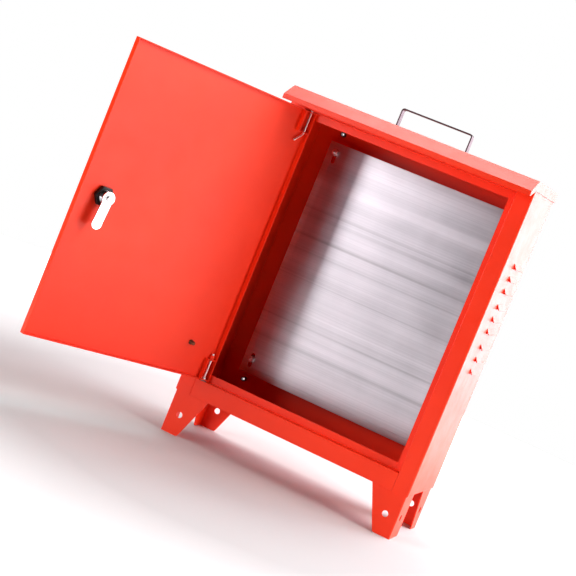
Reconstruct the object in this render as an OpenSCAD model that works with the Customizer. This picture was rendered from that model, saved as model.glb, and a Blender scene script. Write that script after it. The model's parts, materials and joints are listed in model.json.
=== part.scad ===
// Portable sheet-steel control box: rain hood, flush hinged door, mounting plate and four feet.
// Origin at the centre of the underside of the box, +X to the right, +Y to the back, +Z up.
// The door is drawn closed and then swung open about its hinge pins.

/* [Cabinet] */
// Outside width of the box
box_w = 400; // [320:1:600]
// Depth of the box from the front flange to the back wall
box_d = 170; // [140:1:300]
// Height from the underside of the box to the top of the rain hood
box_h = 500; // [400:1:800]
// Thickness of the cabinet, hood and door sheet
sheet_t = 1.2; // [1:0.1:1.6]
// Outside bend radius of the front and bottom edges
bend_r = 2.5; // [1.8:0.1:3]

/* [Front frame] */
// Width of the flange at each side of the doorway
side_flange = 26; // [20:1:36]
// Height of the flange below the doorway
bottom_flange = 28; // [22:1:50]
// Distance from the top of the hood down to the doorway
top_flange = 26.5; // [24:0.5:50]
// Depth of the rebate that the door closes into
rebate_d = 15; // [13:0.5:22]
// Width of the inner lip at the hinge side
lip_hinge = 15; // [12:0.5:20]
// Width of the inner lip at the lock side
lip_lock = 10; // [8:0.5:14]
// Width of the inner lips above and below the doorway
lip_rail = 12; // [8:0.5:20]

/* [Rain hood] */
// How far the hood reaches in front of the flange
hood_front = 39; // [34:1:60]
// How far the hood reaches behind the back wall
hood_back = 6; // [3:0.5:12]
// Depth of the sloped front face of the hood
hood_run = 31; // [20:1:33]
// Drop of the sloped front face of the hood
hood_drop = 18; // [10:1:18]
// Height of the drip edge along the front of the hood
hood_drip = 7.5; // [4:0.5:8]
// Height of the skirts at the sides and back of the hood
hood_skirt = 15; // [10:1:24]
// Clearance between the hood and the box sides
hood_gap = 0.3; // [0.2:0.1:1]

/* [Louvres] */
// Length of one louvre
louvre_l = 60; // [30:1:64]
// Height of one louvre
louvre_h = 8.4; // [5:0.1:10]
// Distance from the front flange to the louvres
louvre_front = 70; // [45:1:74]
// Distance from the top of the hood to the middle louvre
louvre_drop = 213; // [180:1:260]
// Spacing of the louvres within one group
louvre_pitch = 20; // [16:0.5:21]
// Spacing of the groups of louvres
louvre_group_pitch = 65.2; // [62:0.1:70]
// Number of groups of louvres on each side
louvre_groups = 3; // [1:1:3]
// Number of louvres in one group
louvres_per_group = 3; // [1:1:3]
// Angle of the louvre flaps from the wall
louvre_angle = 32; // [15:1:40]

/* [Door] */
// Clearance around the door in its opening
door_gap = 2; // [1.8:0.1:3]
// Depth of the folded edges of the door
door_d = 10; // [9:0.5:12]
// Angle of the open door from its closed place
door_open = 121; // [0:1:124]
// Distance from the hinge edge of the door to the hinge pins
hinge_edge = 7.5; // [6.5:0.1:9]
// Distance from the front face of the door to the hinge pins
hinge_back = 5.2; // [4.6:0.1:5.3]
// Diameter of the hinge pins
hinge_pin_d = 3.5; // [3:0.1:4]
// Radial clearance of the hinge pins in their holes
pin_clear = 0.07; // [0.03:0.01:0.1]
// Height of the two hinge brackets
bracket_h = 32; // [26:1:50]
// Width of the upper hinge bracket beside the pin
upper_bracket_w = 13; // [9:0.5:18]
// Width of the lower hinge bracket beside the pin
lower_bracket_w = 8; // [6:0.5:18]
// Sideways reach of the bent tail of the upper hinge pin
tail_reach = 13; // [8:0.5:18]
// Downward reach of the bent tail of the upper hinge pin
tail_drop = 13.5; // [8:0.5:20]
// Height of the knuckle on the lower hinge bracket
knuckle_h = 6.5; // [4:0.5:12]

/* [Cam lock] */
// Distance from the free edge of the door to the lock
lock_inset = 44; // [34:1:60]
// Distance of the lock below the middle of the door
lock_drop = 3; // [-40:1:40]
// Diameter of the lock barrel
barrel_d = 18.5; // [16:0.1:20]
// Width across the flats of the lock nut
lock_nut_af = 27; // [24:0.5:30]
// Thickness of the lock nut
lock_nut_t = 7; // [4:0.5:8]
// How far the cam reaches past the edge of the lip
cam_overlap = 10.6; // [5:0.1:14]
// Diameter of the round head of the cam
cam_head_d = 20; // [16:0.5:24]
// Width of the arm of the cam
cam_arm_w = 15.8; // [10:0.2:16]
// Diameter of the round tip of the cam
cam_tip_d = 17; // [14:0.5:18]
// Thickness of the cam
cam_t = 2; // [1.5:0.1:3]
// Tilt of the hanging cam towards the free edge of the door
cam_tilt = 5; // [0:1:10]

/* [Feet] */
// Height of the feet
foot_h = 68; // [50:1:100]
// Thickness of the feet
foot_t = 2; // [1.5:0.1:3]
// Width of the foot flanges where they meet the box
foot_top_w = 56; // [46:1:70]
// Width of the sloped foot flanges at the floor
foot_bottom_w = 28; // [24:1:40]
// Width of the straight side flange of the front feet
foot_side_w = 50; // [40:1:60]
// Radius of the lower corners of the feet
foot_corner_r = 4; // [1:0.5:8]
// Distance of the feet from the outer faces of the box
foot_inset = 2; // [1:0.5:5]
// Diameter of the fixing holes in the feet
foot_hole_d = 10; // [6:0.5:12]
// Distance of the fixing holes from the corner of the foot
foot_hole_x = 20; // [15:0.5:24]
// Distance of the fixing holes below the box
foot_hole_z = 35.5; // [20:0.5:40]

/* [Carry handle] */
// Outside width of the handle
handle_w = 120; // [90:1:160]
// Height of the handle above the hood
handle_h = 33; // [26:1:50]
// Width of the handle strap
strap_w = 15; // [12:0.5:25]
// Thickness of the handle strap
strap_t = 2; // [1.5:0.1:3]
// Length of the turned-out feet of the handle
handle_foot_l = 18; // [16:1:25]
// Distance of the handle behind the middle of the box
handle_back = 15; // [-20:1:30]

/* [Mounting plate] */
// Distance from the box sides to the plate
plate_side_gap = 36; // [28:1:50]
// Distance from the underside of the box to the plate
plate_bottom_gap = 46; // [40:1:70]
// Distance from the top of the hood to the plate
plate_top_gap = 54; // [46:1:80]
// Thickness of the plate
plate_t = 2; // [1.5:0.1:3]
// Distance from the back wall to the plate
plate_standoff = 22; // [12:1:40]
// Length of the plate slots
slot_l = 24; // [16:1:30]
// Width of the plate slots
slot_w = 6.6; // [6.4:0.1:8]
// Distance from the plate sides to the slots
slot_edge_x = 14; // [10:1:20]
// Distance from the plate top and bottom to the middle of the slots
slot_edge_z = 22; // [16:1:30]
// Diameter of the weld studs
stud_d = 6; // [5:0.5:6]
// How far the studs stand out of the plate
stud_out = 12; // [8:0.5:20]
// Height of the studs above the middle of the lower slots
stud_rise_low = 2; // [-6:0.5:6]
// Height of the studs above the middle of the upper slots
stud_rise_high = 6; // [-6:0.5:6]

/* [Fixings] */
// Distance from the box sides to the wall inserts
insert_side = 44; // [38:1:60]
// Distance from the underside to the lower wall inserts
insert_low = 32; // [22:1:40]
// Distance from the top of the hood to the upper wall inserts
insert_high = 38; // [34:1:44]
// Distance of the cable grommets from the middle of the box
grommet_x = 60; // [40:1:90]
// Diameter of the cable hole in the grommets
grommet_bore_d = 28; // [20:1:32]

/* [Hidden] */

$fn = 64;
// Overreach of a cutting shape past the face it cuts
eps = 1;
// Number of corners of a hexagon
hex = 6;

// Faces of the box
half_w = box_w / 2;
front_y = -box_d / 2;
back_y = box_d / 2;
inner_x = half_w - sheet_t;
inner_back = back_y - sheet_t;
shell_h = box_h - sheet_t;
inner_bend = bend_r - sheet_t;

// Doorway between the flanges, and the lips behind it
way_x = half_w - side_flange;
way_low = bottom_flange;
way_high = box_h - top_flange;
lip_y = front_y + rebate_d;
lip_left = -way_x + lip_hinge;
lip_right = way_x - lip_lock;
lip_low = way_low + lip_rail;
lip_high = way_high - lip_rail;

// Closed door
door_left = -way_x + door_gap;
door_right = way_x - door_gap;
door_low = way_low + door_gap;
door_high = way_high - door_gap;
door_in = front_y + sheet_t;
door_rim = front_y + door_d;
hinge_x = door_left + hinge_edge;
hinge_y = front_y + hinge_back;
pin_r = hinge_pin_d / 2;
pin_hole_r = pin_r + pin_clear;

// Upper hinge: the ear closes the pocket from below and the tail starts under it
ear_t = 1.5;
bracket_t = 1.2;
upper_ear = door_high - bracket_h;
lower_ear = door_low + bracket_h;
tail_clear = 0.4;
bend_z = upper_ear - ear_t - pin_r - tail_clear;
upper_grip = 8.3;
lower_grip = 6.8;
pin_top = way_high + sheet_t + upper_grip;
pin_foot = way_low - sheet_t - lower_grip;
knuckle_d = 7;
collar_d = 6.4;
collar_h = 3;
tip_rise = 1.5;
washer_t = 1.6;
washer_d = 10;
washer_clear = 0.15;

// Cam lock, along +Y from the front of the door
lock_x = door_right - lock_inset;
lock_z = (door_low + door_high) / 2 - lock_drop;
lock_head_d = 28;
lock_head_t = 3;
cam_gap = 0.4;
barrel_gap = 0.6;
cam_y = lip_y + sheet_t + cam_gap;
barrel_end = cam_y - barrel_gap;
core_d = 13;
core_clear = 0.06;
core_out = 0.5;
core_shoulder = 0.3;
square_w = 8;
cam_clear = 0.1;
key_slot_l = 8;
key_slot_w = 1.6;
key_slot_d = 6;
cam_reach = lock_inset + door_gap - lip_lock + cam_overlap;
cam_bolt_d = 5;
cam_bolt_af = 8;
cam_bolt_head = 3.5;
cam_bolt_l = 9;
cam_washer_d = 14;
cam_washer_t = 1;

// Earth stud on the inside of the door
earth_x = 47;
earth_rise = 50.5;
earth_d = 6;
earth_l = 8;
earth_base_d = 8;
earth_base_t = 1;

// Rain hood, in the Y-Z plane
hood_half = half_w + hood_gap + sheet_t;
hood_face = front_y - hood_front;
hood_fold_z = box_h - hood_drop;
hood_drip_z = hood_fold_z - hood_drip;
hood_crest = hood_face + hood_run;
hood_rear = back_y + hood_back;
hood_angle = atan(hood_drop / hood_run);
hood_hem = 5;
skirt_z = box_h - hood_skirt;

// Carry handle and its screws
strap_r = 5;
screw_d = 5;
screw_clear = 0.25;
screw_head_d = 9.5;
screw_head_t = 3;
recess_w = 1;
screw_l = 12;
screw_edge = 8;
screw_x = handle_w / 2 - strap_t + handle_foot_l - screw_edge;
nut_m5_af = 8;
nut_m5_t = 4;

// Mounting plate, studs and spacers
plate_half = half_w - plate_side_gap;
plate_low = plate_bottom_gap;
plate_high = box_h - plate_top_gap;
plate_back = inner_back - plate_standoff;
plate_front = plate_back - plate_t;
slot_x = plate_half - slot_edge_x;
slot_low = plate_low + slot_edge_z;
slot_high = plate_high - slot_edge_z;
stud_low = slot_low + stud_rise_low;
stud_high = slot_high + stud_rise_high;
nut_m6_af = 10;
nut_m6_t = 5;
spacer_d = 12;
spacer_clear = 0.1;

// Wall inserts and cable grommets
insert_x = half_w - insert_side;
insert_top = box_h - insert_high;
insert_core_r = 2.5;
insert_d = 8;
insert_flange_d = 12;
insert_flange_t = 1;
insert_l = 9;
grommet_lip = 3;
grommet_wall = 3;
grommet_face = 2.5;
grommet_hole_r = grommet_bore_d / 2 + grommet_wall;

red = "#d8301c";
zinc = "#b9bcc0";
steel = "#9fa0a6";

// Places
module at_hinge() { translate([hinge_x, hinge_y, 0]) children(); }
module swung() {
    translate([hinge_x, hinge_y, 0]) rotate([0, 0, -door_open])
    translate([-hinge_x, -hinge_y, 0]) children();
}
module at_lock() { translate([lock_x, 0, lock_z]) children(); }
module at_plate_studs() {
    for (x = [-slot_x, slot_x]) for (z = [stud_low, stud_high]) translate([x, 0, z]) children();
}
module at_handle_screws() {
    for (x = [-screw_x, screw_x]) translate([x, handle_back, 0]) children();
}
module at_wall_inserts() {
    for (x = [-insert_x, insert_x]) for (z = [insert_low, insert_top]) translate([x, 0, z]) children();
}
module at_grommets() { for (x = [-grommet_x, grommet_x]) translate([x, 0, 0]) children(); }

// A box from its low corner to its high corner
module block(low, high) { translate(low) cube(high - low); }

// A cylinder along +Y from y0 to y1
module rod_y(r, y0, y1, sides = 64) {
    translate([0, y0, 0]) rotate([-90, 0, 0]) cylinder(r = r, h = y1 - y0, $fn = sides);
}

// A hexagon's corner radius from its width across the flats
function hex_r(af) = af / 2 / cos(180 / hex);

// The waste outside a rounded corner at (x, y) whose material lies towards (sx, sy)
module corner_waste(x, y, sx, sy, r) {
    difference() {
        translate([x + min(sx, 0) * r - max(sx, 0) * eps, y + min(sy, 0) * r - max(sy, 0) * eps])
            square(r + eps);
        translate([x + sx * r, y + sy * r]) circle(r);
    }
}

// Front silhouette with rounded bottom corners, which trims the side and bottom panels
module bottom_bends() {
    translate([0, back_y + eps, 0]) rotate([90, 0, 0]) linear_extrude(box_d + 2 * eps)
    for (s = [-1, 1]) corner_waste(s * half_w, 0, -s, 1, bend_r);
}

// Plan of one side panel on the +X side: wall and flange, with a fillet inside their bend
module side_plan() {
    difference() {
        union() {
            translate([inner_x, front_y]) square([sheet_t, box_d]);
            translate([way_x, front_y]) square([side_flange, sheet_t]);
            corner_waste(inner_x, door_in, -1, 1, inner_bend);
        }
        corner_waste(half_w, front_y, -1, 1, bend_r);
        corner_waste(half_w, back_y, -1, -1, sheet_t);
        corner_waste(way_x, front_y, 1, 1, sheet_t);
    }
}

// Plan of the rebate wall and lip on the +X side
module lip_plan(lip_w) {
    difference() {
        union() {
            translate([way_x, door_in]) square([sheet_t, rebate_d]);
            translate([way_x - lip_w, lip_y]) square([lip_w + sheet_t, sheet_t]);
        }
        corner_waste(way_x + sheet_t, lip_y + sheet_t, -1, -1, sheet_t);
    }
}

// Middle heights of the louvres
louvre_z = [
    for (g = [0 : louvre_groups - 1]) for (k = [0 : louvres_per_group - 1])
        box_h - louvre_drop + (g - (louvre_groups - 1) / 2) * louvre_group_pitch
        + (k - (louvres_per_group - 1) / 2) * louvre_pitch
];

// Flap of one louvre, bent out from the top edge of its slot, in the X-Z plane
module louvre_flap() {
    reach = louvre_h / cos(louvre_angle);
    out = [reach * sin(louvre_angle), -reach * cos(louvre_angle)];
    back = [-sheet_t * cos(louvre_angle), -sheet_t * sin(louvre_angle)];
    translate([inner_x + sheet_t, front_y + louvre_front + louvre_l, louvre_h / 2])
    rotate([90, 0, 0]) linear_extrude(louvre_l)
        polygon([[-sheet_t, sheet_t], [0, sheet_t], [0, 0], out, out + back, [-sheet_t, 0]]);
}

module side_panel(lip_w) {
    color(red) union() {
        difference() {
            union() {
                linear_extrude(shell_h) side_plan();
                translate([0, 0, sheet_t]) linear_extrude(shell_h - 2 * sheet_t) lip_plan(lip_w);
            }
            bottom_bends();
            for (z = louvre_z)
                block([inner_x - eps, front_y + louvre_front, z - louvre_h / 2],
                      [half_w + eps, front_y + louvre_front + louvre_l, z + louvre_h / 2]);
        }
        for (z = louvre_z) translate([0, 0, z]) louvre_flap();
    }
}

module right_side_panel() { side_panel(lip_lock); }

// The same panel mirrored, with hinge pin holes left to the rails
module left_side_panel() { mirror([1, 0, 0]) side_panel(lip_hinge); }

module back_panel() {
    color(red) difference() {
        block([-inner_x, inner_back, 0], [inner_x, back_y, shell_h]);
        bottom_bends();
        at_wall_inserts() rod_y(insert_d / 2, inner_back - eps, back_y + eps);
    }
}

// Flange, rebate wall and lip of one rail, drawn for the bottom one with the doorway edge at z = 0
module rail(flange_h) {
    block([-way_x, front_y, -flange_h], [way_x, door_in, 0]);
    block([-way_x, front_y, -sheet_t], [way_x, lip_y, 0]);
    block([lip_left, front_y, -sheet_t], [lip_right, lip_y + sheet_t, 0]);
    block([lip_left, lip_y, -sheet_t], [lip_right, lip_y + sheet_t, lip_rail]);
}

module bottom_panel() {
    color(red) difference() {
        union() {
            block([-inner_x, door_in, 0], [inner_x, inner_back, sheet_t]);
            translate([0, 0, way_low]) rail(bottom_flange);
        }
        bottom_bends();
        side_bend_room();
        at_hinge() cylinder(r = pin_hole_r, h = way_low + eps);
        at_grommets() translate([0, 0, -eps]) cylinder(r = grommet_hole_r, h = sheet_t + 2 * eps);
    }
}

module top_panel() {
    color(red) difference() {
        union() {
            block([-inner_x, door_in, shell_h - sheet_t], [inner_x, inner_back, shell_h]);
            translate([0, 0, way_high]) mirror([0, 0, 1]) rail(shell_h - way_high);
        }
        side_bend_room();
        at_hinge() translate([0, 0, way_high - eps]) cylinder(r = pin_hole_r, h = sheet_t + 2 * eps);
        at_handle_screws() translate([0, 0, shell_h - sheet_t - eps])
            cylinder(r = screw_d / 2 + screw_clear, h = sheet_t + 2 * eps);
    }
}

// Room in the top and bottom panels for the inside of the front bends
module side_bend_room() {
    for (s = [-1, 1]) translate([s * (inner_x - inner_bend / 2), door_in + inner_bend / 2, box_h / 2])
        cube([inner_bend, inner_bend, box_h + 2 * eps], center = true);
}

// Outside and inside of the hood in the Y-Z plane
module hood_outline() {
    polygon([
        [hood_rear, skirt_z], [hood_rear, box_h], [hood_crest, box_h], [hood_face, hood_fold_z],
        [hood_face, hood_drip_z], [hood_face + hood_hem, hood_drip_z], [front_y - hood_hem, skirt_z]
    ]);
}
module hood_hollow() {
    polygon([
        [hood_rear - sheet_t, 0], [hood_rear - sheet_t, box_h - sheet_t],
        [hood_crest + sheet_t * tan(hood_angle / 2), box_h - sheet_t],
        [hood_face + sheet_t, hood_fold_z - sheet_t * tan((90 - hood_angle) / 2)],
        [hood_face + sheet_t, 0]
    ]);
}
module across(half) {
    translate([-half, 0, 0]) rotate([90, 0, 90]) linear_extrude(2 * half) children();
}
module rain_hood() {
    color(red) difference() {
        across(hood_half) hood_outline();
        across(hood_half - sheet_t) hood_hollow();
        at_handle_screws() translate([0, 0, shell_h - eps])
            cylinder(r = screw_d / 2 + screw_clear, h = sheet_t + 2 * eps);
    }
}

// Strap handle in the X-Z plane with turned-out feet
module strap_outline() {
    half = handle_w / 2;
    tread = half + handle_foot_l - strap_t;
    difference() {
        union() {
            translate([-half, 0]) square([handle_w, handle_h]);
            translate([-tread, 0]) square([2 * tread, strap_t]);
        }
        difference() {
            translate([-half + strap_t, -eps]) square([handle_w - 2 * strap_t, handle_h - strap_t + eps]);
            for (s = [-1, 1])
                corner_waste(s * (half - strap_t), handle_h - strap_t, -s, -1, strap_r - strap_t);
        }
        for (s = [-1, 1]) corner_waste(s * half, handle_h, -s, -1, strap_r);
    }
}
module carry_handle() {
    color(zinc) difference() {
        translate([0, handle_back + strap_w / 2, box_h]) rotate([90, 0, 0])
            linear_extrude(strap_w) strap_outline();
        at_handle_screws() translate([0, 0, box_h - eps])
            cylinder(r = screw_d / 2 + screw_clear, h = strap_t + 2 * eps);
    }
}

// Pan-head screws that hold the handle, and their nuts under the top panel
module handle_screws() {
    color(zinc) at_handle_screws() {
        translate([0, 0, box_h + strap_t - screw_l]) cylinder(d = screw_d, h = screw_l);
        translate([0, 0, box_h + strap_t]) difference() {
            intersection() {
                cylinder(d = screw_head_d, h = screw_head_t);
                translate([0, 0, screw_head_t - screw_head_d]) sphere(r = screw_head_d);
            }
            for (a = [0, 90]) rotate([0, 0, a]) translate([-screw_d / 2, -recess_w / 2, screw_head_t / 2])
                cube([screw_d, recess_w, screw_head_t]);
        }
    }
}
module handle_nuts() {
    color(zinc) at_handle_screws() translate([0, 0, shell_h - sheet_t - nut_m5_t]) difference() {
        cylinder(r = hex_r(nut_m5_af), h = nut_m5_t, $fn = hex);
        translate([0, 0, -eps]) cylinder(d = screw_d, h = nut_m5_t + 2 * eps);
    }
}

// One foot with its outer corner at the origin, reaching to +X, +Y and -Z.
// Its front flange slopes; its side flange goes from side_top to side_bottom in width.
module foot(side_top, side_bottom) {
    module plan() {
        difference() {
            union() {
                square([foot_top_w, foot_t]);
                square([foot_t, side_top]);
            }
            corner_waste(0, 0, 1, 1, foot_t);
        }
    }
    // Flange with a rounded lower corner; bend is from that corner to where the round starts
    module flange(top_w, bottom_w) {
        slope = atan2(foot_h, top_w - bottom_w);
        bend = foot_corner_r * tan(slope / 2);
        tangent = [bottom_w + bend * cos(slope), bend * sin(slope) - foot_h];
        polygon([[0, 0], [top_w, 0], tangent, [bottom_w - bend, -foot_h], [0, -foot_h]]);
        translate([bottom_w - bend, foot_corner_r - foot_h]) circle(foot_corner_r);
    }
    color(red) difference() {
        union() {
            intersection() {
                translate([0, 0, -foot_h]) linear_extrude(foot_h) plan();
                union() {
                    translate([0, foot_t, 0]) rotate([90, 0, 0]) linear_extrude(foot_t)
                        flange(foot_top_w, foot_bottom_w);
                    mirror([1, -1, 0]) translate([0, foot_t, 0]) rotate([90, 0, 0])
                        linear_extrude(foot_t) flange(side_top, side_bottom);
                }
            }
            block([foot_t / 2, foot_t / 2, -foot_t], [foot_bottom_w, foot_bottom_w, 0]);
        }
        translate([foot_hole_x, 0, -foot_hole_z]) rod_y(foot_hole_d / 2, -eps, foot_t + eps);
        mirror([1, -1, 0]) translate([foot_hole_x, 0, -foot_hole_z])
            rod_y(foot_hole_d / 2, -eps, foot_t + eps);
    }
}
foot_x = half_w - foot_inset;
foot_y = box_d / 2 - foot_inset;
module front_left_foot() { translate([-foot_x, -foot_y, 0]) foot(foot_side_w, foot_side_w); }
module front_right_foot() { mirror([1, 0, 0]) front_left_foot(); }
module rear_left_foot() {
    translate([-foot_x, foot_y, 0]) mirror([0, 1, 0]) foot(foot_top_w, foot_bottom_w);
}
module rear_right_foot() { mirror([1, 0, 0]) rear_left_foot(); }

module slot_y(length, width, y0, y1) {
    for (s = [-1, 1]) translate([0, 0, s * (length - width) / 2]) rod_y(width / 2, y0, y1);
    block([-width / 2, y0, -(length - width) / 2], [width / 2, y1, (length - width) / 2]);
}
module mounting_plate() {
    color(steel) difference() {
        block([-plate_half, plate_front, plate_low], [plate_half, plate_back, plate_high]);
        for (x = [-slot_x, slot_x]) for (z = [slot_low, slot_high])
            translate([x, 0, z]) slot_y(slot_l, slot_w, plate_front - eps, plate_back + eps);
    }
}
module plate_studs() {
    color(zinc) at_plate_studs() rod_y(stud_d / 2, plate_front - stud_out, inner_back);
}
module plate_spacers() {
    color(zinc) at_plate_studs() difference() {
        rod_y(spacer_d / 2, plate_back, inner_back);
        rod_y(stud_d / 2 + spacer_clear, plate_back - eps, inner_back + eps);
    }
}
module plate_nuts() {
    color(zinc) at_plate_studs() difference() {
        rod_y(hex_r(nut_m6_af), plate_front - nut_m6_t, plate_front, hex);
        rod_y(stud_d / 2, plate_front - nut_m6_t - eps, plate_front + eps);
    }
}

// Threaded inserts set in the back wall from behind
module wall_inserts() {
    color(zinc) at_wall_inserts() difference() {
        union() {
            rod_y(insert_flange_d / 2, back_y, back_y + insert_flange_t);
            rod_y(insert_d / 2, back_y - insert_l, back_y);
        }
        rod_y(insert_core_r, back_y - insert_l - eps, back_y + insert_flange_t + eps);
    }
}

// Rubber grommets that hold the floor sheet in a groove
module cable_grommets() {
    color("#202020") at_grommets() difference() {
        union() {
            cylinder(r = grommet_hole_r, h = sheet_t);
            translate([0, 0, -grommet_face]) cylinder(r = grommet_hole_r + grommet_lip, h = grommet_face);
            translate([0, 0, sheet_t]) cylinder(r = grommet_hole_r + grommet_lip, h = grommet_face);
        }
        translate([0, 0, -grommet_face - eps])
            cylinder(d = grommet_bore_d, h = sheet_t + 2 * (grommet_face + eps));
    }
}

// Washer on the lower rail that carries the door
module hinge_washer() {
    color("#e8e4d8") at_hinge() translate([0, 0, way_low]) difference() {
        cylinder(d = washer_d, h = washer_t);
        translate([0, 0, -eps]) cylinder(r = pin_r + washer_clear, h = washer_t + 2 * eps);
    }
}

// Door tray with four folded edges
module door_panel() {
    color(red) swung() difference() {
        translate([0, 0, door_low]) linear_extrude(door_high - door_low) difference() {
            translate([door_left, front_y]) square([door_right - door_left, door_d]);
            corner_waste(door_left, front_y, 1, 1, sheet_t);
            corner_waste(door_right, front_y, -1, 1, sheet_t);
        }
        block([door_left + sheet_t, door_in, door_low + sheet_t],
              [door_right - sheet_t, door_rim + eps, door_high - sheet_t]);
        at_hinge() translate([0, 0, door_low - eps])
            cylinder(r = pin_hole_r, h = door_high - door_low + 2 * eps);
        at_lock() rod_y(barrel_d / 2, front_y - eps, door_in + eps);
    }
}

// Hinge bracket: a wall beside the pin and an ear across it, which with the door edge make a pocket.
// end_z is the inside of the folded edge, ear_z the outer face of the ear.
module hinge_bracket(width, end_z, ear_z) {
    wall = hinge_x + width;
    toward = sign(end_z - ear_z);
    low = min(end_z, ear_z);
    high = max(end_z, ear_z);
    difference() {
        union() {
            block([wall, door_in, low], [wall + bracket_t, door_rim, high]);
            block([door_left + sheet_t, door_in, min(ear_z, ear_z + toward * ear_t)],
                  [wall + bracket_t, door_rim, max(ear_z, ear_z + toward * ear_t)]);
        }
        at_hinge() translate([0, 0, low - eps]) cylinder(r = pin_hole_r, h = high - low + 2 * eps);
    }
}
module upper_hinge_bracket() {
    color(red) swung() hinge_bracket(upper_bracket_w, door_high - sheet_t, upper_ear - ear_t);
}
module lower_hinge_bracket() {
    color(red) swung() union() {
        hinge_bracket(lower_bracket_w, door_low + sheet_t, lower_ear + ear_t);
        at_hinge() translate([0, 0, lower_ear + ear_t]) difference() {
            cylinder(d = knuckle_d, h = knuckle_h);
            translate([0, 0, -eps]) cylinder(r = pin_hole_r, h = knuckle_h + 2 * eps);
        }
    }
}

// Lower pin: stands in the lower rail, its collar rests on the folded edge of the door
module lower_hinge_pin() {
    tip = lower_ear + ear_t + knuckle_h + tip_rise;
    color(zinc) swung() at_hinge() {
        translate([0, 0, pin_foot]) cylinder(r = pin_r, h = tip - pin_foot);
        translate([0, 0, tip]) sphere(r = pin_r);
        translate([0, 0, door_low + sheet_t]) cylinder(d = collar_d, h = collar_h);
    }
}

// Upper pin: a bent wire that pulls down out of the upper rail by its tail
module upper_hinge_pin() {
    tail = sqrt(tail_reach * tail_reach + tail_drop * tail_drop);
    color(zinc) swung() at_hinge() {
        translate([0, 0, bend_z]) cylinder(r = pin_r, h = pin_top - bend_z);
        translate([0, 0, bend_z]) sphere(r = pin_r);
        translate([0, 0, bend_z]) rotate([0, 90 + atan(tail_drop / tail_reach), 0])
            cylinder(r = pin_r, h = tail);
    }
}

// Copper-flashed weld stud for the door's earth strap
module earth_stud() {
    color("#b0703a") swung() translate([hinge_x + earth_x, 0, door_low + earth_rise]) {
        rod_y(earth_base_d / 2, door_in, door_in + earth_base_t);
        rod_y(earth_d / 2, door_in, door_in + earth_l);
    }
}

// Lock housing: a round head outside the door and a barrel through it
module lock_housing() {
    color("#d4d6da") swung() at_lock() difference() {
        union() {
            rod_y(lock_head_d / 2, front_y - lock_head_t, front_y);
            rod_y(barrel_d / 2, front_y - lock_head_t, barrel_end);
        }
        rod_y(core_d / 2 + core_clear, front_y - lock_head_t - eps, barrel_end + eps);
    }
}
module lock_nut() {
    color("#1c1c1e") swung() at_lock() difference() {
        rod_y(hex_r(lock_nut_af), door_in, door_in + lock_nut_t, hex);
        rod_y(barrel_d / 2, door_in - eps, door_in + lock_nut_t + eps);
    }
}

// Turning plug with a key slot in front and a square behind for the cam
module lock_core() {
    face_y = front_y - lock_head_t - core_out;
    end_y = cam_y + cam_t;
    color("#c4c6ca") swung() at_lock() rotate([0, -cam_tilt, 0]) difference() {
        union() {
            rod_y(core_d / 2, face_y, cam_y - core_shoulder);
            block([-square_w / 2, front_y, -square_w / 2], [square_w / 2, end_y, square_w / 2]);
        }
        block([-key_slot_w / 2, face_y - eps, -key_slot_l / 2],
              [key_slot_w / 2, face_y + key_slot_d, key_slot_l / 2]);
        rod_y(cam_bolt_d / 2, end_y - cam_bolt_l, end_y + eps);
    }
}

// Cam that hangs below the lock and turns behind the lip
module lock_cam() {
    tip_z = -(cam_reach - cam_tip_d / 2);
    color("#dcdee2") swung() at_lock() rotate([0, -cam_tilt, 0]) difference() {
        union() {
            rod_y(cam_head_d / 2, cam_y, cam_y + cam_t);
            translate([0, 0, tip_z]) rod_y(cam_tip_d / 2, cam_y, cam_y + cam_t);
            block([-cam_arm_w / 2, cam_y, tip_z], [cam_arm_w / 2, cam_y + cam_t, 0]);
        }
        block([-square_w / 2 - cam_clear, cam_y - eps, -square_w / 2 - cam_clear],
              [square_w / 2 + cam_clear, cam_y + cam_t + eps, square_w / 2 + cam_clear]);
    }
}
module cam_washer() {
    color(zinc) swung() at_lock() difference() {
        rod_y(cam_washer_d / 2, cam_y + cam_t, cam_y + cam_t + cam_washer_t);
        rod_y(cam_bolt_d / 2 + cam_clear, cam_y + cam_t - eps, cam_y + cam_t + cam_washer_t + eps);
    }
}
module cam_bolt() {
    head_y = cam_y + cam_t + cam_washer_t;
    color(zinc) swung() at_lock() rotate([0, -cam_tilt, 0]) {
        rod_y(cam_bolt_d / 2, cam_y + cam_t - cam_bolt_l, head_y);
        rod_y(hex_r(cam_bolt_af), head_y, head_y + cam_bolt_head, hex);
    }
}

left_side_panel();
right_side_panel();
back_panel();
top_panel();
bottom_panel();
rain_hood();
carry_handle();
handle_screws();
handle_nuts();
front_left_foot();
front_right_foot();
rear_left_foot();
rear_right_foot();
mounting_plate();
plate_studs();
plate_spacers();
plate_nuts();
wall_inserts();
cable_grommets();
hinge_washer();
door_panel();
upper_hinge_bracket();
lower_hinge_bracket();
lower_hinge_pin();
upper_hinge_pin();
earth_stud();
lock_housing();
lock_nut();
lock_core();
lock_cam();
cam_washer();
cam_bolt();
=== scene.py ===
"""Looks of a portable sheet-steel control box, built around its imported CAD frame.

Metres, in the row frame: +X to the right, +Y to the back wall, +Z up. The cabinet's
underside is at Z = 0, and its feet reach below that.
"""
import json
import math

import bmesh
import bpy
from mathutils import Matrix, Vector


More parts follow.
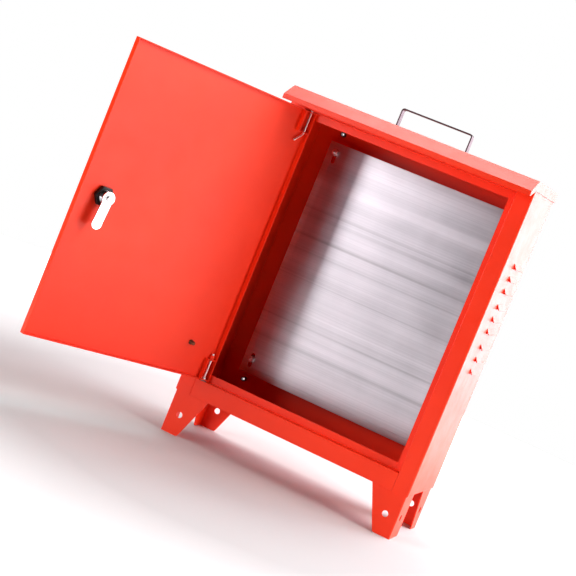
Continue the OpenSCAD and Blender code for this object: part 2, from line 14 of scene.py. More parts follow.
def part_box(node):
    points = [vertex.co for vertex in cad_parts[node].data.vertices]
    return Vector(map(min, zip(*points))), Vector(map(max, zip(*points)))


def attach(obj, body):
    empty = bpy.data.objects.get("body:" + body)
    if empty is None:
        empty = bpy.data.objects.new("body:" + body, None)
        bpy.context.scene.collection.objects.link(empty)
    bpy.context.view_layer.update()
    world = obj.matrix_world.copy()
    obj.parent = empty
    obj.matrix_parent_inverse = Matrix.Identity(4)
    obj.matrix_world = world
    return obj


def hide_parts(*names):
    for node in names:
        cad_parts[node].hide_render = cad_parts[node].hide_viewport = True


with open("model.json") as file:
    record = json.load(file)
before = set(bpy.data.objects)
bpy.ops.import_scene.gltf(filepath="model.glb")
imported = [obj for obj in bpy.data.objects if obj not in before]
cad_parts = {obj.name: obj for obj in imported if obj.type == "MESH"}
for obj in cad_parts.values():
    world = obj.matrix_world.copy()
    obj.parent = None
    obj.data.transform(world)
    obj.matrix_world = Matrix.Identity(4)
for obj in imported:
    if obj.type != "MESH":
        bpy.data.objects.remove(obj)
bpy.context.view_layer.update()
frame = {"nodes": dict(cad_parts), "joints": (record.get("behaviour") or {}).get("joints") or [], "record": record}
nodes = frame["nodes"]
record = frame["record"]
joints = {j["name"]: j for j in frame["joints"]}
body_of = {n: b for b, members in record["behaviour"]["bodies"].items() for n in members}
slot_of = {s["node"]: s["material_slot"] for s in record["subparts"]}
MM = 0.001

# ---------------------------------------------------------------- camera

CAMERA_PLACE = (0.6031, -2.2676, 0.4049)
CAMERA_AZIMUTH = math.radians(17.408)
CAMERA_PITCH = math.radians(4.266)
CAMERA_ROLL = math.radians(22.238)
CAMERA_LENS = 94.96
CAMERA_SENSOR = 36
CAMERA_SHIFT = (-0.02045, -0.01833)
CAMERA_REACH = 50


def make_camera():
    data = bpy.data.cameras.new("camera")
    data.sensor_width = CAMERA_SENSOR
    data.lens = CAMERA_LENS
    data.shift_x, data.shift_y = CAMERA_SHIFT
    data.clip_end = CAMERA_REACH
    camera = bpy.data.objects.new("camera", data)
    sin_a, cos_a = math.sin(CAMERA_AZIMUTH), math.cos(CAMERA_AZIMUTH)
    sin_p, cos_p = math.sin(CAMERA_PITCH), math.cos(CAMERA_PITCH)
    forward = Vector((-sin_a * cos_p, cos_a * cos_p, -sin_p))
    level = Vector((cos_a, sin_a, 0))
    upright = level.cross(forward)
    right = math.cos(CAMERA_ROLL) * level + math.sin(CAMERA_ROLL) * upright
    up = math.cos(CAMERA_ROLL) * upright - math.sin(CAMERA_ROLL) * level
    turn = Matrix((right, up, -forward)).transposed().to_4x4()
    camera.matrix_world = Matrix.Translation(CAMERA_PLACE) @ turn
    bpy.context.scene.collection.objects.link(camera)
    bpy.context.scene.camera = camera


# ---------------------------------------------------------------- materials

class Nodes:
    """Short calls for building a material's node tree."""

    def __init__(self, name):
        self.material = bpy.data.materials.new(name)
        self.material.use_nodes = True
        self.tree = self.material.node_tree
        self.shader = self.tree.nodes["Principled BSDF"]
        self.place = self.add("ShaderNodeTexCoord").outputs["Object"]

    def add(self, kind, **settings):
        node = self.tree.nodes.new(kind)
        for key, value in settings.items():
            setattr(node, key, value)
        return node

    def link(self, source, target):
        self.tree.links.new(source, target)

    def feed(self, source, socket_name):
        """Links a source to one of the shader's own sockets."""
        self.link(source, self.shader.inputs[socket_name])

    def stretched(self, scale):
        """Object coordinates, scaled along each axis."""
        mapping = self.add("ShaderNodeMapping")
        mapping.inputs["Scale"].default_value = scale
        self.link(self.place, mapping.inputs["Vector"])
        return mapping.outputs["Vector"]

    def noise(self, scale, detail=2.0, rough=0.5, vector=None):
        node = self.add("ShaderNodeTexNoise")
        node.inputs["Scale"].default_value = scale
        node.inputs["Detail"].default_value = detail
        node.inputs["Roughness"].default_value = rough
        self.link(vector or self.place, node.inputs["Vector"])
        return node.outputs["Fac"]

    def levels(self, source, source_range, result_range):
        """Spreads a source's range over a new one, and holds it there at both ends."""
        node = self.add("ShaderNodeMapRange")
        for key, value in zip(("From Min", "From Max", "To Min", "To Max"),
                              (*source_range, *result_range)):
            node.inputs[key].default_value = value
        self.link(source, node.inputs["Value"])
        return node.outputs["Result"]

    def combine(self, operation, a, b):
        node = self.add("ShaderNodeMath", operation=operation)
        for socket, value in zip(node.inputs, (a, b)):
            if isinstance(value, (int, float)):
                socket.default_value = value
            else:
                self.link(value, socket)
        return node.outputs["Value"]

    def ramp(self, source, *stops):
        node = self.add("ShaderNodeValToRGB")
        elements = node.color_ramp.elements
        # The two stops it starts with take the ends, and the rest are born in place,
        # because a ramp sorts its stops again whenever one of them moves
        for index, (position, colour) in ((0, stops[0]), (1, stops[-1])):
            elements[index].position = position
            elements[index].color = (*colour, 1)
        for position, colour in stops[1:-1]:
            elements.new(position).color = (*colour, 1)
        self.link(source, node.inputs["Fac"])
        return node.outputs["Color"]

    def bump(self, height, distance, strength):
        node = self.add("ShaderNodeBump")
        node.inputs["Distance"].default_value = distance
        node.inputs["Strength"].default_value = strength
        self.link(height, node.inputs["Height"])
        self.feed(node.outputs["Normal"], "Normal")

    def set(self, **values):
        for key, value in values.items():
            self.shader.inputs[key.replace("_", " ")].default_value = value
        return self.material


BLACK = (0, 0, 0)
RED_DEEP = (0.88, 0.040, 0.005)
RED_LIGHT = (0.95, 0.052, 0.007)
PLATE_DARK = (0.16, 0.15, 0.165)
PLATE_PALE = (0.86, 0.82, 0.87)
PLATE_TONE = 0.72
# Roller lines on the plate: share of its height from the top, depth and half width
ROLLER_LINES = ((0.28, 0.30, 0.004), (0.31, 0.16, 0.003), (0.39, 0.24, 0.010),
                (0.45, 0.22, 0.004), (0.545, 0.26, 0.003), (0.56, 0.20, 0.003),
                (0.735, 0.30, 0.006), (0.83, 0.20, 0.008))
# Most of a noise lies between these, so a look is spread over them
MIDDLE = (0.30, 0.70)
WIDE = (0.25, 0.75)
# Heights of the bumps, in metres, and scales of the noise that makes them
COAT_PEEL = 0.16 * MM
PLATE_PEEL = 0.01 * MM
SMOOTH_PEEL = 0.01 * MM
PLAIN_PEEL = 0.04 * MM
MOULDED_PEEL = 0.08 * MM
PLATING_GRAIN = 900.0
MOULDED_GRAIN = 300.0
FINE_SHARE = 0.18


def powder_coat():
    """Satin orange-peel powder coat with faint clouding and a finer grain on the peel."""
    m = Nodes("red_powder_coat")
    cloud = m.noise(7, 3, 0.55)
    m.feed(m.ramp(cloud, (0.30, RED_DEEP), (0.72, RED_LIGHT)), "Base Color")
    peel = m.noise(420, 1.5, 0.45)
    fine = m.noise(1500, 1, 0.5)
    m.bump(m.combine("ADD", peel, m.combine("MULTIPLY", fine, FINE_SHARE)), COAT_PEEL, 0.55)
    m.feed(m.levels(m.noise(38, 4, 0.6), WIDE, (0.30, 0.40)), "Roughness")
    return m.set(Metallic=0.0, IOR=1.47)


def roller_lines(m):
    """Dark lines across the plate, which stay straight but fade in and out along it."""
    low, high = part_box("mounting_plate")
    fade = m.levels(m.noise(1.0, vector=m.stretched((5, 5, 20))), (0.35, 0.65), (0.60, 1.0))
    split = m.add("ShaderNodeSeparateXYZ")
    m.link(m.place, split.inputs[0])
    share = m.levels(split.outputs["Z"], (high.z, low.z), (0.0, 1.0))
    stops = [(0.0, BLACK)]
    for place, depth, half in ROLLER_LINES:
        stops += [(place - half, BLACK), (place, (depth, depth, depth)), (place + half, BLACK)]
    stops.append((1.0, BLACK))
    return m.combine("MULTIPLY", m.ramp(share, *stops), fade)


def galvanised_sheet():
    """Bare rolled sheet: fine grain along X, a few roller lines and faint clouds."""
    m = Nodes("rolled_steel_sheet")
    grain = m.noise(1.0, vector=m.stretched((2.5, 20, 420)))
    bands = m.noise(1.0, vector=m.stretched((0.9, 10, 45)))
    cloud = m.noise(14, 4, 0.6)
    tone = m.combine("ADD", m.levels(grain, MIDDLE, (-0.05, 0.05)),
                     m.levels(bands, MIDDLE, (-0.07, 0.07)))
    tone = m.combine("ADD", tone, m.levels(cloud, MIDDLE, (-0.04, 0.04)))
    tone = m.combine("SUBTRACT", m.combine("ADD", tone, PLATE_TONE), roller_lines(m))
    m.feed(m.ramp(tone, (0.0, PLATE_DARK), (1.0, PLATE_PALE)), "Base Color")
    rough = m.combine("ADD", m.levels(bands, MIDDLE, (0.300, 0.325)),
                      m.levels(cloud, MIDDLE, (-0.015, 0.015)))
    m.feed(rough, "Roughness")
    m.bump(grain, PLATE_PEEL, 0.3)
    return m.set(Metallic=1.0)


def plated(name, low, high, rough, peel=PLAIN_PEEL):
    """Bright or satin plating with a fine grain and faint stains."""
    m = Nodes(name)
    m.feed(m.ramp(m.noise(55, 4, 0.6), (0.30, low), (0.70, high)), "Base Color")
    m.feed(m.levels(m.noise(160, 4, 0.6), WIDE, rough), "Roughness")
    m.bump(m.noise(PLATING_GRAIN), peel, 0.6)
    return m.set(Metallic=1.0)


def moulded(name, low, high, rough):
    """Rubber, nylon or black oxide: a mottled matt surface."""
    m = Nodes(name)
    m.feed(m.ramp(m.noise(MOULDED_GRAIN / 4, 3, 0.6), (0.30, low), (0.72, high)), "Base Color")
    m.feed(m.levels(m.noise(MOULDED_GRAIN, 3, 0.6), WIDE, rough), "Roughness")
    m.bump(m.noise(MOULDED_GRAIN * 4), MOULDED_PEEL, 0.6)
    return m.set(Metallic=0.0)


materials = {
    "red_paint": powder_coat(),
    "galvanised": galvanised_sheet(),
    "zinc": plated("bright_zinc", (0.80, 0.78, 0.79), (0.90, 0.88, 0.89), (0.29, 0.38), SMOOTH_PEEL),
    "lock_chrome": plated("bright_plating", (0.60, 0.61, 0.63), (0.72, 0.72, 0.74), (0.12, 0.22),
                          SMOOTH_PEEL),
    "black_nut": moulded("black_oxide", (0.010, 0.010, 0.011), (0.022, 0.022, 0.024), (0.30, 0.45)),
    "copper": plated("copper_flash", (0.16, 0.075, 0.045), (0.30, 0.13, 0.075), (0.35, 0.55)),
    "rubber": moulded("black_rubber", (0.012, 0.012, 0.012), (0.028, 0.028, 0.028), (0.55, 0.75)),
    "nylon": moulded("grey_nylon", (0.17, 0.15, 0.14), (0.25, 0.22, 0.20), (0.40, 0.55)),
}

# Zinc that is duller than the pins and nuts. The handle's zinc is painted darkest as painted shade, because its
# broad faces mirror the lights behind the box and would burn out against the white, and its pink tint is a painted
# pink sheen
DARKER_ZINC = {
    "carry_handle": plated("shaded_pink_zinc", (0.085, 0.058, 0.066), (0.115, 0.080, 0.090), (0.34, 0.46),
                           SMOOTH_PEEL),
    # Painted shade: the inserts and spacers are painted darker than zinc, for the shade inside the box
    "wall_inserts": plated("shaded_dull_zinc", (0.09, 0.085, 0.08), (0.16, 0.15, 0.14), (0.45, 0.60)),
    "plate_spacers": plated("shaded_spacer_zinc", (0.16, 0.15, 0.15), (0.26, 0.25, 0.25), (0.40, 0.55)),
}

# ---------------------------------------------------------------- mesh helpers

CAD_WELD = 0.005 * MM
TINY = 1e-7
FLAT_ANGLE = math.radians(0.6)
WHOLE_FACE_CORNERS = 24
EDGE_SEGMENTS = 2
EDGE_ANGLE = math.radians(28)
FLATS_WEIGHT = 100


def add_piece(name, mesh, node_names):
    """Links a mesh as a piece that stands for CAD nodes of one body and one slot."""
    first = node_names[0]
    slot = slot_of[first]
    piece = bpy.data.objects.new(name, mesh)
    bpy.context.scene.collection.objects.link(piece)
    mesh.materials.clear()
    mesh.materials.append(DARKER_ZINC.get(first, materials[slot]))
    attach(piece, body_of[first])
    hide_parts(*node_names)
    return piece


def merged_bmesh(mesh):
    """A CAD mesh with its coplanar triangles merged into whole faces."""
    bm = bmesh.new()
    bm.from_mesh(mesh)
    bmesh.ops.remove_doubles(bm, verts=bm.verts, dist=CAD_WELD)
    bmesh.ops.dissolve_limit(bm, angle_limit=FLAT_ANGLE, verts=bm.verts, edges=bm.edges)
    # A many-sided face round the louvres would cross itself once its corners are bevelled
    wide = [f for f in bm.faces if len(f.verts) > WHOLE_FACE_CORNERS]
    bmesh.ops.triangulate(bm, faces=wide, ngon_method="BEAUTY")
    return bm


def soften(node, width):
    """The CAD node with rolled edges, as a piece that replaces it."""
    bm = merged_bmesh(nodes[node].data)
    mesh = bpy.data.meshes.new(node + "_soft")
    bm.to_mesh(mesh)
    bm.free()
    for polygon in mesh.polygons:
        polygon.use_smooth = True
    scratch = bpy.data.objects.new("scratch", mesh)
    bpy.context.scene.collection.objects.link(scratch)
    bevel = scratch.modifiers.new("edges", "BEVEL")
    bevel.width = width
    bevel.segments = EDGE_SEGMENTS
    bevel.limit_method = "ANGLE"
    bevel.angle_limit = EDGE_ANGLE
    bevel.use_clamp_overlap = True
    bevel.miter_outer = "MITER_ARC"
    flatten = scratch.modifiers.new("flats", "WEIGHTED_NORMAL")
    flatten.weight = FLATS_WEIGHT
    flatten.mode = "FACE_AREA"
    evaluated = scratch.evaluated_get(bpy.context.evaluated_depsgraph_get())
    final = bpy.data.meshes.new_from_object(evaluated)
    bpy.data.objects.remove(scratch)
    return add_piece(node + "_finished", final, [node])


def grid_mesh(rings, closed_ends=True):
    """A surface through rings of points, all with the same number of points."""
    bm = bmesh.new()
    made = [[bm.verts.new(p) for p in ring] for ring in rings]
    count = len(rings[0])
    for low, high in zip(made, made[1:]):
        for i in range(count):
            j = (i + 1) % count
            bm.faces.new((low[i], low[j], high[j], high[i]))
    if closed_ends:
        bm.faces.new(list(reversed(made[0])))
        bm.faces.new(made[-1])
    return bm


def lathe(profile, matrix, steps, loop=False):
    """A bmesh turned about local Z from (radius, height) points. loop joins the last to the first."""
    bm = bmesh.new()
    rings = []
    for radius, height in profile:
        if radius < TINY:
            rings.append([bm.verts.new((0, 0, height))])
            continue
        rings.append([bm.verts.new((radius * math.cos(2 * math.pi * i / steps),
                                    radius * math.sin(2 * math.pi * i / steps), height))
                      for i in range(steps)])
    pairs = list(zip(rings, rings[1:]))
    if loop:
        pairs.append((rings[-1], rings[0]))
    for low, high in pairs:
        for i in range(steps):
            j = (i + 1) % steps
            # A ring on the axis is one point, so its face there has three corners
            corners = [low[i % len(low)], low[j % len(low)],
                       high[j % len(high)], high[i % len(high)]]
            unique = []
            for corner in corners:
                if corner not in unique:
                    unique.append(corner)
            if len(unique) > 2:
                bm.faces.new(unique)
    bmesh.ops.recalc_face_normals(bm, faces=bm.faces)
    bm.transform(matrix)
    return bm


def smooth_mesh(name, bm, angle):
    """Finishes a bmesh as a mesh whose edges sharper than angle, in degrees, stay sharp."""
    bmesh.ops.recalc_face_normals(bm, faces=bm.faces)
    # A ring-shaped solid can come out of that with its faces turned inwards
    if bm.calc_volume(signed=True) < 0:
        bmesh.ops.reverse_faces(bm, faces=bm.faces)
    mesh = bpy.data.meshes.new(name)
    bm.to_mesh(mesh)
    bm.free()
    mesh.shade_smooth()
    mesh.set_sharp_from_angle(angle=math.radians(angle))
    return mesh


def joined(parts):
    """Several bmeshes as one."""
    whole = bmesh.new()
    for part in parts:
        scratch = bpy.data.meshes.new("scratch")
        part.to_mesh(scratch)
        part.free()
        whole.from_mesh(scratch)
        bpy.data.meshes.remove(scratch)
    return whole


ROD_STEPS = 28
RINGS_PER_TURN = 6
FEWEST_RINGS = 4
ROD_CHAMFER = 1.6       # times the thread's depth
THINNEST_ROD = 0.5      # share of the rod's radius


def threaded_rod(radius, depth, pitch, start, end, matrix):
    """A rod along local Z with a real helical thread and chamfered ends."""
    rings = []
    count = max(FEWEST_RINGS, int((end - start) / pitch * RINGS_PER_TURN))
    chamfer = depth * ROD_CHAMFER
    for k in range(count + 1):
        z = start + (end - start) * k / count
        inset = max(0.0, chamfer - (z - start), chamfer - (end - z))
        ring = []
        for i in range(ROD_STEPS):
            turn = i / ROD_STEPS
            phase = ((z - start) / pitch - turn) % 1.0
            groove = depth * (1 - abs(2 * phase - 1))
            r = max(radius * THINNEST_ROD, radius - max(groove, inset))
            ring.append((r * math.cos(2 * math.pi * turn), r * math.sin(2 * math.pi * turn), z))
        rings.append(ring)
    bm = grid_mesh(rings)
    bm.transform(matrix)
    return bm


NUT_STEPS = 72
NUT_SLOPE = math.tan(math.radians(30))
NUT_FACE = 0.96         # share of half the flats that the chamfer leaves flat
NUT_LIP = 0.08          # share of the bore


def hex_nut(flats, bore, thickness, matrix):
    """A nut along local Z from 0 to its thickness, with turned chamfers on its corners."""
    flat_r = flats / 2 * NUT_FACE
    lip = bore * NUT_LIP

    def ring(radius_at, height_at):
        points = []
        for i in range(NUT_STEPS):
            a = 2 * math.pi * i / NUT_STEPS
            r = radius_at(a)
            points.append((r * math.cos(a), r * math.sin(a), height_at(r)))
        return points

    def hex_radius(a):
        return flats / 2 / math.cos((a + math.pi / 6) % (math.pi / 3) - math.pi / 6)

    rings = [
        ring(lambda a: bore, lambda r: lip),
        ring(lambda a: bore + lip, lambda r: 0),
        ring(lambda a: flat_r, lambda r: 0),
        ring(hex_radius, lambda r: (r - flat_r) * NUT_SLOPE),
        ring(hex_radius, lambda r: thickness - (r - flat_r) * NUT_SLOPE),
        ring(lambda a: flat_r, lambda r: thickness),
        ring(lambda a: bore + lip, lambda r: thickness),
        ring(lambda a: bore, lambda r: thickness - lip),
    ]
    bm = grid_mesh(rings + [rings[0]], closed_ends=False)
    bmesh.ops.remove_doubles(bm, verts=bm.verts, dist=TINY)
    bm.transform(matrix)
    return bm


TUBE_STEPS = 24
CROWN = 0.6             # height of a wire's rounded end, as a share of its radius
CROWN_ANGLES = tuple(math.radians(d) for d in (18, 40, 62, 80))


def tube(path, radius):
    """A wire along points, with rounded ends."""
    points = [Vector(p) for p in path]
    tangents = []
    for k in range(len(points)):
        ahead = points[min(k + 1, len(points) - 1)]
        behind = points[max(k - 1, 0)]
        tangents.append((ahead - behind).normalized())
    side = tangents[0].orthogonal().normalized()

    def ring(centre, tangent, r):
        across = (side - tangent * side.dot(tangent)).normalized()
        other = tangent.cross(across)
        return [centre + r * (math.cos(2 * math.pi * i / TUBE_STEPS) * across
                              + math.sin(2 * math.pi * i / TUBE_STEPS) * other)
                for i in range(TUBE_STEPS)]

    cap = [(math.sin(a), 1 - math.cos(a)) for a in CROWN_ANGLES]
    rings = []
    for share, rise in cap:
        centre = points[0] + tangents[0] * radius * CROWN * rise
        rings.append(ring(centre, tangents[0], radius * share))
    for p, t in zip(points[1:-1], tangents[1:-1]):
        rings.append(ring(p, t, radius))
    for share, rise in reversed(cap):
        centre = points[-1] - tangents[-1] * radius * CROWN * rise
        rings.append(ring(centre, tangents[-1], radius * share))
    return grid_mesh(rings)


# ---------------------------------------------------------------- places

hinge = Vector(joints["door_hinge"]["pos_m"])
door_angle = math.radians(joints["door_hinge"]["range_deg"][1])
# Takes a shape drawn on the closed door, from its hinge axis, to the open door at rest
on_door = Matrix.Translation(hinge) @ Matrix.Rotation(-door_angle, 4, "Z")
lock_place = Vector(joints["lock_turn"]["pos_m"])
outward = Vector(joints["lock_turn"]["axis"]).normalized()
inward = -outward


def along(direction, origin):
    """Local Z along a direction, at an origin."""
    z = Vector(direction).normalized()
    return Matrix.Translation(origin) @ z.to_track_quat("Z", "Y").to_matrix().to_4x4()


def four_centres(node, radius):
    """Centres, in X and Z, of a node's four equal round solids at its box's corners."""
    low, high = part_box(node)
    return [(x, z) for x in (low.x + radius, high.x - radius)
            for z in (low.z + radius, high.z - radius)]


# ---------------------------------------------------------------- pieces

SHEET_T = 1.2 * MM
STUD_R = 3.0 * MM
THREAD_DEPTH = 0.42 * MM
THREAD_PITCH = 1.0 * MM
NUT_FLATS = 10.0 * MM
NUT_BORE = STUD_R * 0.97


def make_plate_fixings():
    low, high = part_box("plate_studs")
    nut_low, nut_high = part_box("plate_nuts")
    studs, nuts = [], []
    for x, z in four_centres("plate_studs", STUD_R):
        studs.append(threaded_rod(STUD_R, THREAD_DEPTH, THREAD_PITCH, 0, high.y - low.y,
                                  along((0, 1, 0), (x, low.y, z))))
        nuts.append(hex_nut(NUT_FLATS, NUT_BORE, nut_high.y - nut_low.y,
                            along((0, 1, 0), (x, nut_low.y, z))))
    add_piece("plate_studs_threaded", smooth_mesh("studs", joined(studs), 50), ["plate_studs"])
    add_piece("plate_nuts_chamfered", smooth_mesh("nuts", joined(nuts), 25), ["plate_nuts"])


HANDLE_NUT_FLATS = 8.0 * MM
HANDLE_NUT_BORE = 2.45 * MM


def make_handle_nuts():
    low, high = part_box("handle_nuts")
    y = (low.y + high.y) / 2
    half_corner = HANDLE_NUT_FLATS / 2 / math.cos(math.pi / 6)
    nuts = [hex_nut(HANDLE_NUT_FLATS, HANDLE_NUT_BORE, high.z - low.z,
                    Matrix.Translation((x, y, low.z)))
            for x in (low.x + half_corner, high.x - half_corner)]
    mesh = smooth_mesh("handle_nuts", joined(nuts), 25)
    add_piece("handle_nuts_chamfered", mesh, ["handle_nuts"])


LOCK_NUT_FLATS = 27.0 * MM
LOCK_NUT_T = 7.0 * MM
BARREL_R = 9.25 * MM
BARREL_ROOT = BARREL_R * 0.95
BARREL_START = 0.25 * MM
LOCK_NUT_BORE = BARREL_R * 0.985
HALF_PITCH = 0.5 * MM
HEAD_R = 14.0 * MM
HEAD_T = 3.0 * MM
# Points on the head's dome, as shares of its radius and of its thickness
HEAD_DOME = ((0.72, 1.0), (0.86, 0.93), (0.95, 0.70), (1.0, 0.35))
HEAD_GAP = 0.0001 * MM
CORE_R = 6.56 * MM
RIM = 0.4 * MM


def make_lock():
    # The joint's point lies on the outer face of the door, on the lock's axis
    base = along(inward, lock_place)
    turned = Matrix.Rotation(math.radians(30), 4, "Z")
    nut = hex_nut(LOCK_NUT_FLATS, LOCK_NUT_BORE, LOCK_NUT_T,
                  base @ Matrix.Translation((0, 0, SHEET_T)) @ turned)
    add_piece("lock_nut_chamfered", smooth_mesh("lock_nut", nut, 25), ["lock_nut"])
    barrel_end = max(inward.dot(Vector(v.co) - lock_place)
                     for v in nodes["lock_housing"].data.vertices)
    # A domed head outside the door, then the thread as plain ridges, and a bore for the core
    head = [(CORE_R, -HEAD_T)]
    head += [(HEAD_R * across, -HEAD_T * up) for across, up in HEAD_DOME]
    head += [(HEAD_R, -HEAD_GAP), (BARREL_ROOT, 0)]
    count = int((barrel_end - HALF_PITCH - BARREL_START) / HALF_PITCH) + 1
    thread = [(BARREL_ROOT if k % 2 else BARREL_R, BARREL_START + k * HALF_PITCH)
              for k in range(count)]
    rim = [(BARREL_R * 0.93, barrel_end - RIM), (BARREL_R * 0.88, barrel_end),
           (CORE_R + RIM, barrel_end), (CORE_R, barrel_end - RIM)]
    housing = lathe(head + thread + rim, base, 72, loop=True)
    add_piece("lock_housing_threaded", smooth_mesh("housing", housing, 28), ["lock_housing"])


PIN_R = 1.75 * MM
TAIL_REACH = 13.0 * MM
TAIL_DROP = 13.5 * MM
TAIL_BEND = 5.0 * MM
SHANK_STEPS = 6
BEND_STEPS = 8
TAIL_STEPS = 4


def make_upper_hinge_pin():
    low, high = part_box("upper_hinge_pin")
    tail = math.hypot(TAIL_REACH, TAIL_DROP)
    slope = math.atan2(TAIL_REACH, TAIL_DROP)
    # The tail's end cap is square to the tail, so its lowest point is below its centre
    corner = low.z + PIN_R * math.sin(slope) + TAIL_DROP
    set_back = TAIL_BEND * math.tan(slope / 2)
    shank = high.z - corner - set_back
    path = [(0, 0, high.z - k * shank / SHANK_STEPS) for k in range(SHANK_STEPS + 1)]
    for k in range(1, BEND_STEPS + 1):
        a = slope * k / BEND_STEPS
        path.append((TAIL_BEND * (1 - math.cos(a)), 0, corner + set_back - TAIL_BEND * math.sin(a)))
    for k in range(1, TAIL_STEPS + 1):
        d = set_back + (tail - set_back) * k / TAIL_STEPS
        path.append((d * math.sin(slope), 0, corner - d * math.cos(slope)))
    bm = tube(path, PIN_R)
    bm.transform(on_door)
    add_piece("upper_hinge_pin_bent", smooth_mesh("upper_pin", bm, 60), ["upper_hinge_pin"])


GROMMET_WALL = 6.0 * MM
GROMMET_GROOVE = 3.0 * MM
GROMMET_ROUND = 1.1 * MM
ROUND_STEP = 15


def make_grommets():
    low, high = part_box("cable_grommets")
    outer = (high.y - low.y) / 2
    bore = outer - GROMMET_WALL
    groove = outer - GROMMET_GROOVE
    r = GROMMET_ROUND

    def rounded(cx, cz, start, stop):
        return [(cx + r * math.cos(math.radians(a)), cz + r * math.sin(math.radians(a)))
                for a in range(start, stop + 1, ROUND_STEP)]

    profile = (rounded(bore + r, low.z + r, 180, 270) + rounded(outer - r, low.z + r, 270, 360)
               + [(outer, 0.0), (groove, 0.0), (groove, SHEET_T), (outer, SHEET_T)]
               + rounded(outer - r, high.z - r, 0, 90) + rounded(bore + r, high.z - r, 90, 180))
    rings = [lathe(profile, Matrix.Translation((x, (low.y + high.y) / 2, 0)), 72, loop=True)
             for x in (low.x + outer, high.x - outer)]
    mesh = smooth_mesh("grommets", joined(rings), 40)
    add_piece("cable_grommets_moulded", mesh, ["cable_grommets"])


EARTH_R = 3.0 * MM
EARTH_FOOT_R = 4.0 * MM
EARTH_FOOT_T = 1.0 * MM


def make_earth_stud():
    points = [Vector(v.co) for v in nodes["earth_stud"].data.vertices]
    centre = sum(points, Vector())
    centre /= len(points)
    depth = [inward.dot(p - centre) for p in points]
    base = along(inward, centre - outward * min(depth))
    length = max(depth) - min(depth)
    foot = lathe([(0, 0), (EARTH_FOOT_R, 0), (EARTH_FOOT_R, 0.6 * MM), (3.7 * MM, EARTH_FOOT_T),
                  (EARTH_R * 0.9, EARTH_FOOT_T), (0, EARTH_FOOT_T)], base, 40)
    rod = threaded_rod(EARTH_R, THREAD_DEPTH, THREAD_PITCH, EARTH_FOOT_T * 0.9, length, base)
    add_piece("earth_stud_threaded", smooth_mesh("earth", joined([foot, rod]), 45), ["earth_stud"])


FEET = ("front_left_foot", "front_right_foot", "rear_left_foot", "rear_right_foot")
# Width of the rolled edge, and the CAD nodes that get it
ROLLED_EDGES = (
    (0.35 * MM, ("left_side_panel", "right_side_panel", "back_panel", "top_panel",
                 "bottom_panel", "rain_hood", "door_panel", "upper_hinge_bracket",
                 "lower_hinge_bracket")),
    (0.45 * MM, FEET + ("carry_handle",)),
    (0.25 * MM, ("lock_cam", "mounting_plate")),
    (0.20 * MM, ("handle_screws", "plate_spacers", "wall_inserts", "lower_hinge_pin",
                 "hinge_washer", "lock_core", "cam_washer", "cam_bolt")),
)

make_camera()
make_plate_fixings()
make_handle_nuts()
make_lock()
make_upper_hinge_pin()
make_grommets()
make_earth_stud()
for edge, edge_nodes in ROLLED_EDGES:
    for edge_node in edge_nodes:
        soften(edge_node, edge)

# ---------------------------------------------------------------- studio

VIEW_GAMMA = 0.85
WHITE = (1.0, 1.0, 1.0)
COOL_PINK = (1.0, 0.92, 1.0)
FLOOR_R = 1.7
FLOOR_NEAR = 0.5
FLOOR_PALE = (0.60, 0.60, 0.60)
FLOOR_WHITE = (0.88, 0.88, 0.88)
FLOOR_GLOW = 0.9
FLOOR_STEPS = 96
# Strength of the world from the front and from behind, and the Y of a direction that it
# changes between
FRONT_GLOW = 0.02
BACKDROP_GLOW = 0.80
BACKDROP_RISE = (0.1, 0.6)
STUDIO_CENTRE = Vector((0, 0, 0.25))
STUDIO_R = 2.4
# Name, azimuth and elevation in degrees, size in metres, radiance, colour
SOFT_BOXES = (
    ("key_right", 88, 38, (1.4, 1.4), 7.6, WHITE),
    ("side_right", 84, 10, (1.4, 1.7), 3.8, WHITE),
    ("rim_right", 125, 10, (1.4, 1.6), 8.5, COOL_PINK),
    ("rim_back", 155, 10, (1.8, 1.6), 3.0, COOL_PINK),
    ("front_left", -38, 8, (1.2, 1.2), 7.9, WHITE),
    ("overhead", 180, 62, (2.2, 1.6), 3.8, WHITE),
    ("plate_strip", -20, 10, (0.6, 1.1), 0.75, COOL_PINK),
)


def make_floor():
    """A pale round floor under the feet."""
    level = min(v.co.z for n in FEET for v in nodes[n].data.vertices)
    disc = lathe([(0, level), (FLOOR_R / 2, level), (FLOOR_R, level)],
                 Matrix.Identity(4), FLOOR_STEPS)
    floor_mesh = smooth_mesh("studio_floor", disc, 35)
    floor = bpy.data.objects.new("studio_floor", floor_mesh)
    bpy.context.scene.collection.objects.link(floor)
    m = Nodes("studio_paper")
    # Less pale under the box than at its rim, so that it throws less light into the doorway
    distance = m.add("ShaderNodeVectorMath", operation="LENGTH")
    m.link(m.place, distance.inputs[0])
    radius = m.combine("ADD", m.levels(distance.outputs["Value"], (FLOOR_NEAR, FLOOR_R), (0.0, 1.0)),
                       m.levels(m.noise(3), MIDDLE, (-0.02, 0.02)))
    m.feed(m.ramp(radius, (0.0, FLOOR_PALE), (1.0, FLOOR_WHITE)), "Base Color")
    # It glows towards its rim, like a light table, so that its far edge melts into the white
    m.feed(m.levels(radius, (0.0, 1.0), (0.0, FLOOR_GLOW)), "Emission Strength")
    paper = m.set(Roughness=0.9, Specular_IOR_Level=0.1, Emission_Color=(*WHITE, 1))
    floor_mesh.materials.append(paper)


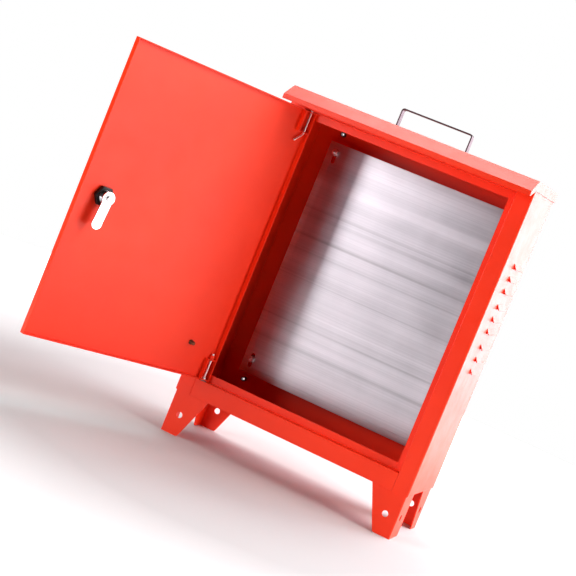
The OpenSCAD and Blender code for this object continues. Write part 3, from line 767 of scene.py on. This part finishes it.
def soft_box(name, azimuth, elevation, size, radiance, colour):
    """A softbox that faces the box, at an azimuth from the front towards +X."""
    turn, rise = math.radians(azimuth), math.radians(elevation)
    towards = Vector((math.sin(turn) * math.cos(rise), -math.cos(turn) * math.cos(rise),
                      math.sin(rise)))
    data = bpy.data.lights.new(name, "AREA")
    data.shape = "RECTANGLE"
    data.size, data.size_y = size
    data.energy = radiance * math.pi * size[0] * size[1]
    data.color = colour
    light = bpy.data.objects.new(name, data)
    light.location = STUDIO_CENTRE + STUDIO_R * towards
    light.rotation_euler = (-towards).to_track_quat("-Z", "Y").to_euler()
    light.visible_camera = False
    bpy.context.scene.collection.objects.link(light)


def make_world():
    """White to the camera. Its light comes almost only from behind, as from a bright backdrop."""
    world = bpy.data.worlds.new("studio")
    world.use_nodes = True
    tree = world.node_tree
    backdrop = tree.nodes["Background"]
    white = tree.nodes.new("ShaderNodeBackground")
    for background in (backdrop, white):
        background.inputs["Color"].default_value = (*WHITE, 1)
        background.inputs["Strength"].default_value = 1.0
    direction = tree.nodes.new("ShaderNodeTexCoord")
    split = tree.nodes.new("ShaderNodeSeparateXYZ")
    tree.links.new(direction.outputs["Generated"], split.inputs[0])
    strength = tree.nodes.new("ShaderNodeMapRange")
    for key, value in zip(("From Min", "From Max", "To Min", "To Max"),
                          (*BACKDROP_RISE, FRONT_GLOW, BACKDROP_GLOW)):
        strength.inputs[key].default_value = value
    tree.links.new(split.outputs["Y"], strength.inputs["Value"])
    tree.links.new(strength.outputs["Result"], backdrop.inputs["Strength"])
    path = tree.nodes.new("ShaderNodeLightPath")
    mix = tree.nodes.new("ShaderNodeMixShader")
    tree.links.new(path.outputs["Is Camera Ray"], mix.inputs[0])
    tree.links.new(backdrop.outputs[0], mix.inputs[1])
    tree.links.new(white.outputs[0], mix.inputs[2])
    tree.links.new(mix.outputs[0], tree.nodes["World Output"].inputs["Surface"])
    bpy.context.scene.world = world


make_floor()
make_world()
for box in SOFT_BOXES:
    soft_box(*box)
bpy.context.scene.view_settings.view_transform = "Standard"
bpy.context.scene.view_settings.gamma = VIEW_GAMMA
